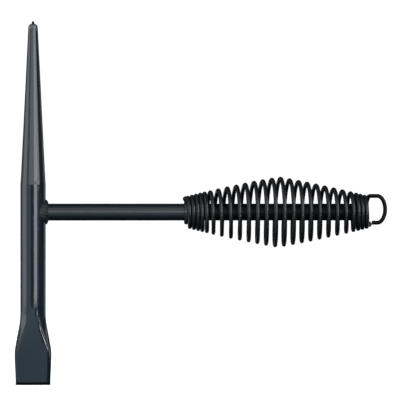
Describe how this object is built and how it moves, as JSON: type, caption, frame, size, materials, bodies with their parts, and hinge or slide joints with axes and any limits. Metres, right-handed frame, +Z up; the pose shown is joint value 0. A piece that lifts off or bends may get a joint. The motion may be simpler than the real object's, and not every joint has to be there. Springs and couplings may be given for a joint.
{
  "type": "chipping hammer",
  "caption": "Welder's slag hammer: forged bar head with a point and a chisel, welded to a round rod that carries a barrel spring grip with a hanging loop.",
  "frame": {"origin": "middle of the chisel's cutting edge, on the head's long axis", "axes": "+Z up the head from the cutting edge to the point, +X from the head along the handle to the hanging loop, Y across the thin side of the blade"},
  "size_m": [0.2195, 0.042, 0.2135],
  "materials": {
    "head_paint": "glossy blue-black paint over forged steel",
    "rod_paint": "satin black paint over drawn rod",
    "spring_paint": "semi-gloss black paint over spring wire",
    "weld_paint": "black paint over rough weld bead"
  },
  "bodies": {
    "root": {"head": "head_paint", "head_weld": "weld_paint", "handle_rod": "rod_paint", "front_collar": "rod_paint", "rear_collar": "rod_paint", "grip_spring": "spring_paint", "hanging_loop": "spring_paint", "front_tack_weld": "weld_paint", "rear_tack_weld": "weld_paint"}
  },
  "joints": []
}
